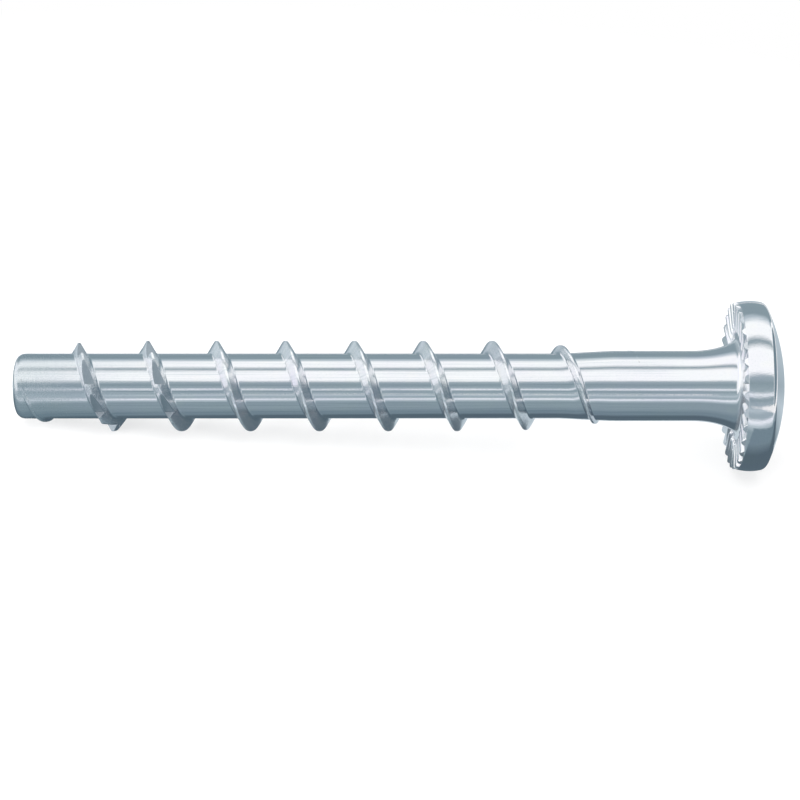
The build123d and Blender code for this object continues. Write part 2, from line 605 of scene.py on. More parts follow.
@dataclass(frozen=True)
class Columns:
    """The lines that run along the screw. One lies on each tooth's step and one just before it."""

    sizes: ScrewSizes
    in_sector: int = 20
    step_width: float = 1.2

    @property
    def first_angle(self) -> float:
        """Angle of the first line, which lies on a tooth's step."""
        return self.sizes.first_tooth_angle % self.sizes.tooth_spacing - self.sizes.tooth_spacing

    def inputs(self) -> dict[str, float]:
        """Values that a node tree needs to find the angle of a line."""
        return {
            "Lines in a Sector": self.in_sector,
            "Sectors": self.sizes.teeth_per_turn,
            "Sector Angle": self.sizes.tooth_spacing,
            "First Angle": self.first_angle,
            "Step Width": self.step_width,
        }

    @staticmethod
    def grid(tree: GeometryTree, rows: Number) -> tuple[bpy.types.NodeSocket, Value, Value]:
        """Make a grid of rows and lines.

        Args:
            tree: the tree to build in.
            rows: number of rows.

        Returns:
            The grid, and each vertex's row and line.
        """
        make = tree.make
        lines = tree.input("Lines in a Sector") * tree.input("Sectors") + 1
        made = make.add("GeometryNodeMeshGrid", vertices_x=rows, vertices_y=lines)
        index = make.value("GeometryNodeInputIndex")
        row = ((index + 0.5) / lines).floor()
        return made.outputs["Mesh"], row, index - row * lines

    @staticmethod
    def angles(tree: GeometryTree, line: Value) -> tuple[Value, Value]:
        """Find where a line lies.

        Args:
            tree: the tree to build in.
            line: number of the line.

        Returns:
            Its angle, and its angle within its sector.
        """
        in_sector = tree.input("Lines in a Sector")
        sector_angle = tree.input("Sector Angle")
        sector = ((line + 0.5) / in_sector).floor()
        even = (line - sector * in_sector) * sector_angle / (in_sector - 1)
        within = tree.make.math("MINIMUM", even, sector_angle - tree.input("Step Width"))
        return tree.input("First Angle") + sector * sector_angle + within, within

    @staticmethod
    def finish(
        tree: GeometryTree, grid: bpy.types.NodeSocket, turned: tuple, material: bpy.types.Material
    ) -> None:
        """Move the grid's vertices to their places and end the tree.

        Args:
            tree: the tree to build in.
            grid: the grid.
            turned: radius, angle in degrees and height of each vertex.
            material: the material of the piece.
        """
        make = tree.make
        radius, angle, height = turned
        turn = make.math("RADIANS", angle)
        across = radius * make.math("COSINE", turn)
        deep = radius * make.math("SINE", turn)
        place = make.value("ShaderNodeCombineXYZ", x=across, y=deep, z=height)
        moved = make.add("GeometryNodeSetPosition", geometry=grid, position=place)
        tree.finish(moved.outputs[0], material)


@dataclass
class TurnedSurfaces:
    """The tip, and all from the shank to the crown, turned about the axis from their half sections."""

    sizes: ScrewSizes
    columns: Columns
    low: float
    high: float
    bend_steps: int = 10
    corner_steps: int = 3
    rim_steps: int = 12
    dome_steps: int = 26
    corner_reach: float = 0.02
    tip_rings: tuple = (0.0, 0.35, 0.7)
    shank_rings: tuple = (0.0, 0.5)
    seat_rings: tuple = (0.3, 0.65)

    @staticmethod
    def bend(start: tuple, corner: tuple, end: tuple, steps: int) -> list[tuple]:
        """Points of a smooth bend that leaves a corner out.

        Args:
            start: where it leaves the first line.
            corner: the corner.
            end: where it joins the second line.
            steps: number of spans.

        Returns:
            Points from start to end.
        """
        points = []
        for step in range(steps + 1):
            t = step / steps
            points.append(tuple(
                (1 - t) ** 2 * a + 2 * t * (1 - t) * b + t**2 * c for a, b, c in zip(start, corner, end)
            ))
        return points

    @staticmethod
    def toward(origin: tuple, target: tuple, reach: float) -> tuple:
        """The point at this distance from one point towards another."""
        far = hypot(target[0] - origin[0], target[1] - origin[1])
        return tuple(a + (b - a) * reach / far for a, b in zip(origin, target))

    def tip_section(self) -> list[tuple]:
        """Half section of the tip, from the axis to where the thread's stretch starts.

        Returns:
            Pairs of radius and height.
        """
        s = self.sizes
        flat = s.core_radius - s.tip_rounding
        corner, end = (s.core_radius, 0.0), (s.core_radius, self.low)
        rings = [(flat * share, 0.0) for share in self.tip_rings]
        return rings + self.bend((flat, 0.0), corner, end, self.bend_steps)

    def head_section(self) -> list[tuple]:
        """Half section from where the thread's stretch ends to the crown.

        Returns:
            Pairs of radius and height, over the shank, the flare, the seat, the rim and the dome.
        """
        s = self.sizes
        flare_angle = asin(s.flare_length / s.flare_radius)
        flare_bend = (s.shank_radius, s.flare_start + s.flare_radius * tan(flare_angle / 2))
        flare_end = (s.shank_radius + s.flare_radius * (1 - cos(flare_angle)), s.seat_height)
        seat_edge = (s.rim_edge_radius, s.seat_height)
        root_start = self.toward(flare_end, flare_bend, s.flare_root_rounding)
        root_end = self.toward(flare_end, seat_edge, s.flare_root_rounding)
        seat_width = seat_edge[0] - root_end[0]
        corner_start = (seat_edge[0] - self.corner_reach, s.seat_height)
        plain_length = s.flare_start - self.high
        points = [(s.shank_radius, self.high + plain_length * share) for share in self.shank_rings]
        points += self.bend((s.shank_radius, s.flare_start), flare_bend, root_start, self.bend_steps)
        points += self.bend(root_start, flare_end, root_end, self.bend_steps)[1:]
        points += [(root_end[0] + seat_width * share, s.seat_height) for share in self.seat_rings]
        points += self.bend(corner_start, seat_edge, self.rim_point(self.corner_reach), self.corner_steps)
        return points + self.rim_and_dome()

    def rim_point(self, above: float) -> tuple:
        """Find a point of the bulging rim.

        Args:
            above: its height above the seat.

        Returns:
            Its radius and height.
        """
        s = self.sizes
        from_middle = above - s.rim_height / 2
        inward = s.rim_arc_radius - sqrt(s.rim_arc_radius**2 - from_middle**2)
        return (s.head_radius - inward, s.seat_height + above)

    def rim_and_dome(self) -> list[tuple]:
        """Half section of the rim, the rounded edge above it and the dome up to the axis.

        Returns:
            Pairs of radius and height.
        """
        s = self.sizes
        first, last = self.corner_reach, s.rim_height - s.dome_edge_reach
        rim = [self.rim_point(first + (last - first) * n / self.rim_steps) for n in range(1, self.rim_steps)]
        dome_start = asin((s.rim_edge_radius - s.dome_edge_reach) / s.dome_radius)
        dome = []
        for step in range(self.dome_steps + 1):
            turn = dome_start * (1 - step / self.dome_steps)
            dome.append((s.dome_radius * sin(turn), s.crown_height - s.dome_radius * (1 - cos(turn))))
        edge = self.bend(self.rim_point(last), (s.rim_edge_radius, s.rim_top), dome[0], self.bend_steps)
        return rim + edge[:-1] + dome

    def build(self, name: str, section: list[tuple], material: bpy.types.Material) -> bpy.types.Mesh:
        """Turn a half section about the axis.

        Args:
            name: name of the node tree.
            section: its points, as radius and height.
            material: the material.

        Returns:
            The turned mesh.
        """
        tree = GeometryTree(name, self.columns.inputs())
        grid, row, line = Columns.grid(tree, tree.point_count())
        radius, _, height = tree.point(row)
        angle, _ = Columns.angles(tree, line)
        Columns.finish(tree, grid, (radius, angle, height), material)
        outline = MeshTools.mesh(name, [(radius, 0.0, height) for radius, height in section])
        return tree.apply(MeshTools.placed(name, outline))


@dataclass
class Thread:
    """The threaded stretch of the screw, as one surface that follows the helix.

    Rows of vertices run along the helix. Each has a place beside the crest, and some follow the edge of the
    crest's land, so that the floors of the teeth have clean edges.
    """

    sizes: ScrewSizes
    columns: Columns
    low: float
    high: float
    first_turn: int = -2
    turns: int = 13
    root_rounding: float = 0.2
    crest_rounding: float = 0.07
    edge_gap: float = 0.045
    root_rows: tuple = (0.48, 0.53, 0.57, 0.61, 0.65, 0.69, 0.73, 0.78, 0.84)
    core_rows: tuple = (0.95, 1.3, 2.1)
    least_spread: float = 0.15
    end_fade: float = 0.25
    no_tooth: float = 10.0

    def rows(self) -> list[tuple]:
        """Rows of one turn, each as three numbers.

        Returns:
            A fixed place beside the crest, a share of the land's half width, and a distance from the
            land's edge that shrinks where the ridge is low.
        """
        gap = self.edge_gap
        half_land = self.sizes.crest_land / 2
        roots = [place - half_land for place in self.root_rows]
        rising = [(-place, 0.0, 0.0) for place in reversed(self.core_rows)]
        rising += [(0.0, 0.0, -place) for place in reversed(roots)]
        land = [(-2 * gap, -1.0), (-gap, -1.0), (0.0, -1.0), (gap, -1.0), (0.0, 0.0)]
        land += [(-beside, -share) for beside, share in reversed(land[:-1])]
        falling = [(0.0, 0.0, place) for place in roots]
        falling += [(place, 0.0, 0.0) for place in self.core_rows]
        return [(-self.sizes.pitch / 2, 0.0, 0.0), *rising, *[(*place, 0.0) for place in land], *falling]

    def inputs(self) -> dict[str, float]:
        """Work out the values of the tree's named inputs.

        Returns:
            One number for each name.
        """
        s = self.sizes
        rise_start = s.crest_angle(s.lead_in_start)
        fall_start = s.crest_angle(s.run_out_start)
        return {
            **self.columns.inputs(),
            "First Turn": self.first_turn,
            "Turns": self.turns,
            "Pitch": s.pitch,
            "Phase Height": s.thread_phase_height,
            "Low": self.low,
            "High": self.high,
            "Core Radius": s.core_radius,
            "Shank Radius": s.shank_radius,
            "Neck Start": s.neck_start,
            "Neck Length": s.neck_length,
            "Crest Radius": s.crest_radius,
            "Half Land": s.crest_land / 2,
            "Flank Run": s.flank_run,
            "Rise Angle": rise_start,
            "Rise Turn": s.crest_angle(s.lead_in_start + s.lead_in_length) - rise_start,
            "Rise": s.crest_radius - s.core_radius + s.crest_end_depth,
            "Tooth Floor": s.tooth_floor_radius,
            "First Tooth": s.first_tooth_angle,
            "Teeth": s.tooth_count,
            "No Tooth": self.no_tooth,
            "Run-out Angle": fall_start,
            "Run-out Turn": s.crest_angle(s.run_out_start + s.run_out_length) - fall_start,
            "Run-out Fall": s.crest_radius - s.shank_radius + s.crest_end_depth,
            "Root Rounding": self.root_rounding,
            "Crest Rounding": self.crest_rounding,
            "Least Spread": self.least_spread,
            "End Fade": self.end_fade,
        }

    def build(self, material: bpy.types.Material) -> bpy.types.Mesh:
        """Build the surface.

        Args:
            material: the material.

        Returns:
            The mesh, open at its two round ends.
        """
        tree = GeometryTree("thread", self.inputs())
        make, given = tree.make, tree.input
        per_turn = tree.point_count()
        grid, row, line = Columns.grid(tree, per_turn * given("Turns") + 1)
        turn = ((row + 0.5) / per_turn).floor()
        fixed, share, shrinking = tree.point(row - turn * per_turn)

        angle, within = Columns.angles(tree, line)
        turned = angle + 360.0 * (turn + given("First Turn"))
        crest_height = given("Phase Height") + given("Pitch") * turned / 360.0
        crest = given("Crest Radius") - self._sunk(tree, turned)
        capped = make.math("MINIMUM", crest, self._tooth_floor(tree, turned, within))
        half_land = given("Half Land")
        widened = half_land + (crest - capped) * given("Flank Run")
        full = given("Crest Radius") - given("Core Radius")
        low_share = (crest - self._bare(tree, crest_height)) / full
        spread = make.math("MAXIMUM", low_share, given("Least Spread"))
        beside = fixed + share * widened + shrinking * spread + make.math("SIGN", shrinking) * half_land

        height = make.math("MAXIMUM", crest_height + beside, given("Low"))
        height = make.math("MINIMUM", height, given("High"))
        flank = crest - (abs(beside) - half_land) / given("Flank Run")
        ridge = make.math("SMOOTH_MIN", flank, capped, given("Crest Rounding"))
        bare = self._bare(tree, height)
        risen = make.math("SMOOTH_MAX", ridge, bare, given("Root Rounding")) - bare
        from_end = make.math("MINIMUM", height - given("Low"), given("High") - height)
        radius = bare + risen * (from_end / given("End Fade")).clamp()
        Columns.finish(tree, grid, (radius, angle, height), material)
        return tree.apply(MeshTools.placed("thread", MeshTools.mesh("thread", self.rows())))

    @staticmethod
    def _sunk(tree: GeometryTree, turned: Value) -> Value:
        """How far the ridge is sunk, where it rises out of the core and where it runs out into the shank.

        Args:
            tree: the tree to build in.
            turned: angle along the helix.

        Returns:
            The depth.
        """
        given = tree.input
        rising = 1.0 - (turned - given("Rise Angle")) / given("Rise Turn")
        rising = tree.make.math("MAXIMUM", rising, 0.0) * given("Rise")
        falling = turned.rise(given("Run-out Angle"), given("Run-out Turn")) * given("Run-out Fall")
        return rising + falling

    @staticmethod
    def _bare(tree: GeometryTree, height: Value) -> Value:
        """Radius of the core, neck or shank.

        Args:
            tree: the tree to build in.
            height: height above the tip.

        Returns:
            The radius.
        """
        given = tree.input
        widening = height.rise(given("Neck Start"), given("Neck Length"))
        return given("Core Radius") + (given("Shank Radius") - given("Core Radius")) * widening

    @staticmethod
    def _tooth_floor(tree: GeometryTree, turned: Value, within: Value) -> Value:
        """Radius of a tooth's flat floor, which faces square to the step that ends it.

        Args:
            tree: the tree to build in.
            turned: angle along the helix.
            within: angle within the sector between two steps.

        Returns:
            The radius, far out where there is no tooth.
        """
        make, given = tree.make, tree.input
        to_step = given("Sector Angle") - within
        flat = given("Tooth Floor") / make.math("COSINE", make.math("RADIANS", to_step))
        tooth = (turned + to_step - given("First Tooth")) / given("Sector Angle")
        there = make.math("COMPARE", tooth, (given("Teeth") - 1) / 2, given("Teeth") / 2)
        return flat + (1.0 - there) * given("No Tooth")


@dataclass
class LockingRibs:
    """The ring of ribs on the seat, each an arch that narrows and sinks towards the axis.

    A rib's path is given by pairs: a share of the way from its inner to its outer end, and its scale there.
    """

    sizes: ScrewSizes
    arch_steps: int = 14
    arch_power: float = 2.2
    sunk: float = 0.1
    inner_reach: float = 0.12
    path: tuple = (
        (0.0, 0.05), (0.04, 0.2), (0.09, 0.42), (0.15, 0.56), (0.25, 0.66), (0.55, 0.81), (0.93, 1.0),
        (0.97, 0.98), (1.0, 0.9),
    )

    def section(self) -> list[tuple]:
        """Closed section of a rib at its outer end.

        Returns:
            Pairs of a place across the rib and a height from the seat.
        """
        s = self.sizes
        points = []
        for step in range(self.arch_steps + 1):
            across = -cos(pi * step / self.arch_steps)
            points.append((s.rib_width / 2 * across, -s.rib_height * (1 - abs(across) ** self.arch_power)))
        return points + [(s.rib_width / 2, self.sunk), (-s.rib_width / 2, self.sunk)]

    def rib(self) -> bpy.types.Object:
        """Make one rib at angle 0.

        Returns:
            The rib as a closed shell.
        """
        s = self.sizes
        section = self.section()
        inner = s.rib_inner_radius - self.inner_reach
        outer = s.rim_edge_radius - s.rib_edge_gap
        vertices = []
        for share, scale in self.path:
            radius = inner + (outer - inner) * share
            for across, below in section:
                depth = below * scale if below < 0 else below
                vertices.append((radius, across * scale, s.seat_height + depth))
        mesh = MeshTools.mesh("rib", vertices, MeshTools.tube_faces(len(self.path), len(section)))
        return MeshTools.placed("rib", MeshTools.outward(mesh))

    def build(self, material: bpy.types.Material) -> bpy.types.Mesh:
        """Repeat the rib round the seat.

        Args:
            material: the material.

        Returns:
            The ribs as closed shells.
        """
        s = self.sizes
        tree = GeometryTree("locking_ribs", {"Ribs": s.rib_count, "First Rib": radians(s.rib_phase)})
        make = tree.make
        ring = make.add("GeometryNodeMeshLine", count=tree.input("Ribs"), offset=(0.0, 0.0, 0.0))
        index = make.value("GeometryNodeInputIndex")
        turn = tree.input("First Rib") + index * (2 * pi) / tree.input("Ribs")
        placed = make.add(
            "GeometryNodeInstanceOnPoints",
            points=ring.outputs[0],
            instance=tree.geometry,
            rotation=make.value("ShaderNodeCombineXYZ", z=turn),
        )
        tree.finish(placed.outputs[0], material)
        return tree.apply(self.rib())


@dataclass
class DriveRecess:
    """The room for the driver: six lobes, a chamfered mouth and a conical bottom."""

    sizes: ScrewSizes
    points_in_lobe: int = 28
    chamfer_rows: int = 14
    over: float = 1.0
    floor_gap: float = 0.04
    cone_gap: float = 0.01
    cone_share: float = 0.96
    point_radius: float = 0.05

    def outline(self, angle: float) -> float:
        """Find the radius of the six-lobed outline.

        Args:
            angle: angle about the axis in degrees, with a lobe at 0.

        Returns:
            The radius.
        """
        s = self.sizes
        half_lobe = pi / 6
        flank_centre = s.drive_inner_radius + s.drive_flank_radius
        flank_reach = flank_centre * cos(half_lobe)
        gap = s.drive_outer_radius**2 + flank_centre**2 - s.drive_flank_radius**2
        gap -= 2 * s.drive_outer_radius * flank_reach
        lobe_radius = gap / (2 * (s.drive_flank_radius + s.drive_outer_radius - flank_reach))
        lobe_centre = s.drive_outer_radius - lobe_radius
        share = lobe_radius / (lobe_radius + s.drive_flank_radius)
        meet_x = lobe_centre + (flank_reach - lobe_centre) * share
        meet_y = flank_centre * sin(half_lobe) * share
        turn = radians(abs((angle + 30) % 60 - 30))
        if turn <= atan2(meet_y, meet_x):
            return lobe_centre * cos(turn) + sqrt(lobe_radius**2 - (lobe_centre * sin(turn)) ** 2)
        turn = half_lobe - turn
        return flank_centre * cos(turn) - sqrt(s.drive_flank_radius**2 - (flank_centre * sin(turn)) ** 2)

    def build(self) -> bpy.types.Mesh:
        """Build the closed shape that is cut out of the head.

        Returns:
            The mesh.
        """
        s = self.sizes
        mouth_radius = s.drive_outer_radius + s.drive_mouth_chamfer
        mouth = s.crown_height - s.dome_radius + sqrt(s.dome_radius**2 - mouth_radius**2)
        floor = s.crown_height - s.drive_depth
        chamfer_depth = mouth_radius - s.drive_inner_radius
        heights = [mouth + self.over]
        heights += [mouth - chamfer_depth * n / self.chamfer_rows for n in range(self.chamfer_rows + 1)]
        heights += [floor + self.floor_gap]
        vertices = []
        for height in heights:
            cone = mouth_radius + height - mouth
            vertices += self._ring(height, lambda angle: max(self.outline(angle), cone))
        vertices += self._ring(floor, lambda angle: self.outline(angle) - self.floor_gap)
        vertices += self._ring(floor - self.cone_gap, lambda angle: s.drive_inner_radius * self.cone_share)
        vertices += self._ring(floor - s.drive_bottom_rise, lambda angle: self.point_radius)
        columns = 6 * self.points_in_lobe
        faces = MeshTools.tube_faces(len(vertices) // columns, columns)
        return MeshTools.outward(MeshTools.mesh("drive_recess", vertices, faces))

    def _ring(self, height: float, radius_at: Callable[[float], float]) -> list[tuple]:
        """Make one ring of vertices.

        Args:
            height: its height.
            radius_at: gives its radius at an angle in degrees.

        Returns:
            The vertices.
        """
        columns = 6 * self.points_in_lobe
        ring = []
        for column in range(columns):
            angle = 360 * column / columns
            radius = radius_at(angle)
            ring.append((radius * cos(radians(angle)), radius * sin(radians(angle)), height))
        return ring


@dataclass(frozen=True)
class Pattern:
    """A noise on the metal: its waves in a millimetre across and along the screw, and its finer layers.

    Where it shows as a colour, it starts at one strength of the noise and is full after a span.
    """

    across: float
    along: float
    layers: float
    start: float = 0.5
    span: float = 0.5
    shift: float = 0.0

    def at(self, make: NodeMaker, place: tuple) -> Value:
        """Make the noise.

        Args:
            make: the maker of the material's nodes.
            place: the three numbers that it follows, of which the last runs along the screw.

        Returns:
            The noise, from 0 to 1.
        """
        x, y, z = place[0] * self.across + self.shift, place[1] * self.across, place[2] * self.along
        vector = make.value("ShaderNodeCombineXYZ", x=x, y=y, z=z)
        return make.value("ShaderNodeTexNoise", vector=vector, scale=1.0, detail=self.layers)

    def shown(self, noise: Value) -> Value:
        """How much the noise shows as a colour."""
        return noise.rise(self.start, self.span)


@dataclass(frozen=True)
class Marks:
    """The noises of the finish at each place, and how far each kind of surface goes, from 0 to 1."""

    streaks: Value
    scratches: Value
    rings: Value
    grain: Value
    clouds: Value
    tints: Value
    at_tip: Value
    on_head: Value
    on_stem: Value
    floors: Value
    rolled: Value


@dataclass(frozen=True)
class ZincFinish:
    """Bright blue-white zinc plating on drawn, rolled and upset steel."""

    placement: Placement
    sizes: ScrewSizes
    pale: tuple = (0.85, 0.86, 0.87, 1.0)
    violet: tuple = (0.84, 0.83, 0.87, 1.0)
    straw: tuple = (0.88, 0.87, 0.83, 1.0)
    worn: tuple = (0.60, 0.66, 0.69, 1.0)
    cut: tuple = (0.40, 0.45, 0.49, 1.0)
    straw_strength: float = 0.6
    worn_strength: float = 0.8
    grain_wear: float = 0.5
    grain_wear_at_tip: float = 0.6
    wear_at_tip: float = 0.5
    cut_strength: float = 0.6
    cut_grain: float = 0.8
    streaks: Pattern = Pattern(22.0, 0.06, 3.0)
    scratches: Pattern = Pattern(48.0, 0.1, 2.0, start=0.47, span=0.3125)
    rings: Pattern = Pattern(2.0, 16.0, 3.0)
    grain: Pattern = Pattern(13.0, 11.0, 4.0, span=1 / 3)
    clouds: Pattern = Pattern(0.9, 0.6, 3.0, span=1 / 2.4)
    tints: Pattern = Pattern(0.45, 0.3, 2.0, start=0.35, span=1 / 3, shift=7.3)
    roughness: float = 0.055
    least_roughness: float = 0.03
    tip_roughness: float = 0.36
    rolled_roughness: float = 0.11
    cut_roughness: float = 0.25
    cloud_roughness: float = 0.06
    streak_roughness: float = 0.05
    grain_roughness: float = 0.08
    rolled_matt: float = 0.045
    streak_depth: float = 0.0000026
    grain_depth: float = 0.0000025
    streak_relief: float = 0.7
    scratch_relief: float = 0.5
    grain_relief: float = 0.8
    tip_grain_relief: float = 1.1
    rolled_relief: float = 0.8
    cut_relief: float = 3.0
    ring_relief: float = 1.2
    wave_relief: float = 0.8
    head_wave_relief: float = 4.2
    worn_from_tip: tuple = (2.5, 9.0)
    head_margin: tuple = (0.2, 0.3)
    stem_margin: tuple = (4.0, 3.5)

    def material(self) -> bpy.types.Material:
        """Make the material.

        Returns:
            The material, which reads Object coordinates only.
        """
        made = bpy.data.materials.new(MATERIAL_SLOT)
        make = NodeMaker.dressing(made)
        marks = self._marks(make)
        bumped = make.add(
            "ShaderNodeBump", height=self._relief(marks), strength=1.0, distance=self.grain_depth
        )
        shader = make.add(
            "ShaderNodeBsdfPrincipled",
            base_color=self._colour(make, marks),
            metallic=1.0 - self.rolled_matt * marks.rolled * (1.0 - marks.floors),
            roughness=make.math("MAXIMUM", self._roughness(marks), self.least_roughness),
            normal=bumped.outputs[0],
        )
        make.add("ShaderNodeOutputMaterial", surface=shader.outputs[0])
        return made

    def _marks(self, make: NodeMaker) -> Marks:
        """Make the noises, and find the kinds of surface.

        Args:
            make: the maker of the material's nodes.

        Returns:
            The marks.
        """
        s = self.sizes
        inverse = self.placement.matrix().inverted()
        upright = make.add(
            "ShaderNodeMapping",
            {"vector_type": "POINT"},
            vector=make.add("ShaderNodeTexCoord").outputs["Object"],
            location=inverse.to_translation(),
            rotation=inverse.to_euler(),
        )
        x, y, z = (part / MM for part in make.split(upright.outputs[0]))
        never_zero = 0.001
        radius = make.math("SQRT", x * x + y * y) + never_zero
        drawn = (x / radius, y / radius, z)
        return Marks(
            streaks=self.streaks.at(make, drawn),
            scratches=self.scratches.at(make, drawn),
            rings=self.rings.at(make, (radius, 0.0, z)),
            grain=self.grain.at(make, (x, y, z)),
            clouds=self.clouds.at(make, (x, y, z)),
            tints=self.tints.at(make, (x, y, z)),
            at_tip=z.fall(*self.worn_from_tip),
            on_head=z.rise(s.seat_height - self.head_margin[0], self.head_margin[1]),
            on_stem=z.fall(s.flare_start - self.stem_margin[0], self.stem_margin[1]),
            floors=self._tooth_floors(make, x, y, z, radius),
            rolled=make.math("MAXIMUM", self._ridge(z, radius), self._seat(z, radius)),
        )

    def _roughness(self, marks: Marks) -> Value:
        """Roughness of the plating.

        Args:
            marks: the noises and kinds of surface.

        Returns:
            The roughness.
        """
        rough = self.roughness + self.tip_roughness * marks.at_tip * marks.grain
        rough = rough + self.rolled_roughness * marks.rolled + self.cut_roughness * marks.floors
        rough = rough + (marks.clouds - 0.5) * self.cloud_roughness
        rough = rough + (marks.streaks - 0.5) * self.streak_roughness * marks.on_stem
        return rough + (marks.grain - 0.5) * self.grain_roughness

    def _colour(self, make: NodeMaker, marks: Marks) -> bpy.types.NodeSocket:
        """Colour of the plating: pale with violet and straw tints, worn in scratches, grey where it was cut.

        Args:
            make: the maker of the material's nodes.
            marks: the noises and kinds of surface.

        Returns:
            The colour.
        """
        toned = make.mix(self.tints.shown(marks.tints), self.pale, self.violet)
        warmed = make.mix(self.clouds.shown(marks.clouds) * self.straw_strength, toned, self.straw)
        scored = self.scratches.shown(marks.scratches) * marks.on_stem
        grainy = self.grain.shown(marks.grain) * (self.grain_wear + marks.at_tip * self.grain_wear_at_tip)
        scored = scored + grainy + marks.at_tip * self.wear_at_tip
        scratched = make.mix(scored.clamp() * self.worn_strength, warmed, self.worn)
        cut_share = marks.floors * (self.cut_strength + self.cut_grain * marks.grain).clamp()
        return make.mix(cut_share, scratched, self.cut)

    def _relief(self, marks: Marks) -> Value:
        """Height of the fine relief: lines drawn along the stem, grain, turned rings at the tip, soft waves.

        Args:
            marks: the noises and kinds of surface.

        Returns:
            The height, where 1 is the depth of the grain.
        """
        drawn = (marks.streaks * self.streak_relief + marks.scratches * self.scratch_relief) * marks.on_stem
        grainy = self.grain_relief + self.tip_grain_relief * marks.at_tip
        grainy = grainy + self.rolled_relief * marks.rolled + self.cut_relief * marks.floors
        turned = marks.rings * marks.at_tip * self.ring_relief
        wavy = marks.clouds * (self.wave_relief + self.head_wave_relief * marks.on_head)
        return drawn * (self.streak_depth / self.grain_depth) + marks.grain * grainy + turned + wavy

    def _ridge(self, z: Value, radius: Value) -> Value:
        """Where the thread's rolled ridge is.

        Args:
            z: height above the tip.
            radius: distance from the axis.

        Returns:
            A share from 0 to 1.
        """
        s = self.sizes
        edge = 0.12
        blur = 0.2
        widening = z.rise(s.neck_start, s.neck_length)
        risen = radius - (s.core_radius + edge) - (s.shank_radius - s.core_radius) * widening
        return (risen / blur).clamp() * z.fall(s.flare_start - blur, blur)

    def _seat(self, z: Value, radius: Value) -> Value:
        """Where the seat, its ribs and the end of the flare are.

        Args:
            z: height above the tip.
            radius: distance from the axis.

        Returns:
            A share from 0 to 1.
        """
        s = self.sizes
        inner_radius = 3.6
        inner_blur = 0.2
        rib_blur = 0.1
        seat_blur = 0.05
        below_seat = z.rise(s.seat_height - s.rib_height, rib_blur) * z.fall(s.seat_height, seat_blur)
        return below_seat * radius.rise(inner_radius, inner_blur)

    def _tooth_floors(self, make: NodeMaker, x: Value, y: Value, z: Value, radius: Value) -> Value:
        """Where the flat floors of the teeth are.

        Args:
            make: the maker of the material's nodes.
            x: place across the screw.
            y: the other place across it.
            z: height above the tip.
            radius: distance from the axis.

        Returns:
            A share from 0 to 1.
        """
        s = self.sizes
        near = 0.03
        near_blur = 0.02
        above_last = 0.3
        last_blur = 0.2
        turn = make.math("DEGREES", make.math("ARCTAN2", y, x))
        to_step = (s.first_tooth_angle - turn) % s.tooth_spacing
        floor = s.tooth_floor_radius / make.math("COSINE", make.math("RADIANS", to_step))
        last = s.crest_height(s.first_tooth_angle + (s.tooth_count - 1) * s.tooth_spacing)
        return abs(radius - floor).fall(near, near_blur) * z.fall(last + above_last, last_blur)


class Combining(Enum):
    """How one closed shape is combined with another."""

    UNION = "UNION"
    DIFFERENCE = "DIFFERENCE"


@dataclass
class Screw:
    """The whole screw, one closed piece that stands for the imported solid."""

    sizes: ScrewSizes
    placement: Placement
    finish: ZincFinish
    sharp_angle: float = 32.0
    beyond_run_out: float = 0.15

    def build(self) -> bpy.types.Object:
        """Build the screw, lay it down and dress it.

        Returns:
            The finished object.
        """
        s = self.sizes
        material = self.finish.material()
        columns = Columns(s)
        low, high = s.tip_rounding, s.run_out_start + s.run_out_length + self.beyond_run_out
        turned = TurnedSurfaces(s, columns, low, high)
        parts = [
            turned.build("tip", turned.tip_section(), material),
            Thread(s, columns, low, high).build(material),
            turned.build("shank_and_head", turned.head_section(), material),
        ]
        body = MeshTools.placed("screw", self._joined(parts))
        log.info("tip, thread, shank and head: %d faces", len(body.data.polygons))
        self._combine(body, LockingRibs(s).build(material), Combining.UNION)
        log.info("with locking ribs: %d faces", len(body.data.polygons))
        self._combine(body, DriveRecess(s).build(), Combining.DIFFERENCE)
        log.info("with drive recess: %d faces", len(body.data.polygons))
        mesh = MeshTools.outward(body.data, FINAL_MERGE_GAP)
        mesh.transform(self.placement.matrix() @ Matrix.Scale(MM, 4))
        mesh.materials.clear()
        mesh.materials.append(material)
        mesh.shade_smooth()
        mesh.set_sharp_from_angle(angle=radians(self.sharp_angle))
        return body

    @staticmethod
    def _joined(parts: list[bpy.types.Mesh]) -> bpy.types.Mesh:
        """Join meshes whose edges meet into one closed mesh.

        Args:
            parts: the meshes.

        Returns:
            One mesh with its doubles merged and its faces outwards.
        """
        work = bmesh.new()
        for part in parts:
            work.from_mesh(part)
        mesh = bpy.data.meshes.new("screw")
        work.to_mesh(mesh)
        work.free()
        return MeshTools.outward(mesh)

    @staticmethod
    def _combine(body: bpy.types.Object, tool: bpy.types.Mesh, how: Combining) -> None:
        """Add a shape to the body or cut it out.

        Args:
            body: the object, which is changed.
            tool: the other shape.
            how: whether it is added or cut out.
        """
        other = MeshTools.placed("tool", tool)
        modifier = body.modifiers.new("combine", "BOOLEAN")
        modifier.operation = how.value
        modifier.solver = "EXACT"
        modifier.object = other
        body.data = MeshTools.evaluated(body)
        bpy.data.objects.remove(other)


class Shade(Enum):
    """Shades of the painted reflections, as glow colour and strength in one: seen only in the metal, not
    lamps; the dark ones are painted shade.
    """

    WHITE = (1.11, 1.13, 1.14)
    PALE = (1.01, 1.04, 1.11)
    SILVER = (0.54, 0.63, 0.69)
    STEEL = (0.38, 0.465, 0.52)
    SLATE = (0.28, 0.365, 0.41)
    DUSK = (0.195, 0.27, 0.32)
    DEEP = (0.105, 0.15, 0.185)


